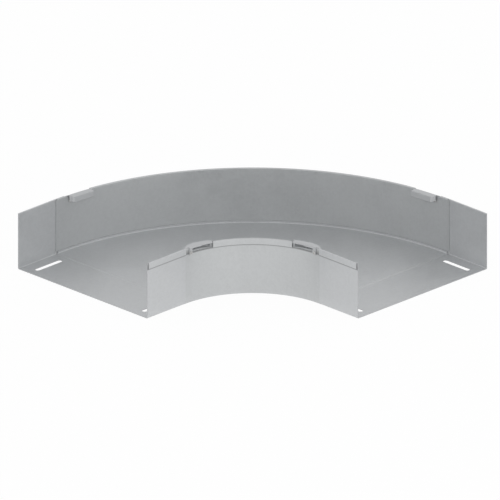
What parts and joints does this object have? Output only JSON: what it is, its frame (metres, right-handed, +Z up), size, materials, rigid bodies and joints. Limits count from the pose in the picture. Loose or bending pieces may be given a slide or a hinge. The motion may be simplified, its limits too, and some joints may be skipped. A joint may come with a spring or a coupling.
{
  "type": "cable tray bend",
  "caption": "Flat right-angle bend of folded sheet steel for a cable tray, with curved and hemmed side rails, spring latches and a slotted socket at each end.",
  "frame": {"origin": "centre of the bounding box at its foot, on the plane that the undersides of both sockets rest on", "axes": "+Z up out of the tray's floor; one run leaves along -X and the other along -Y, and the centre of the bend lies on the diagonal towards -X and -Y"},
  "size_m": [0.553, 0.553, 0.1],
  "materials": {
    "base_plate": "satin zinc-coated sheet",
    "side_rail": "satin zinc-coated sheet",
    "latch": "bright zinc-plated spring steel",
    "rivet": "bright zinc-plated"
  },
  "bodies": {
    "root": {"base_plate": "base_plate", "outer_side_rail": "side_rail", "inner_side_rail": "side_rail", "outer_latch_a": "latch", "outer_latch_b": "latch", "inner_latch_a": "latch", "inner_latch_b": "latch", "outer_rivet_a": "rivet", "outer_rivet_b": "rivet", "inner_rivet_a": "rivet", "inner_rivet_b": "rivet"}
  },
  "joints": []
}
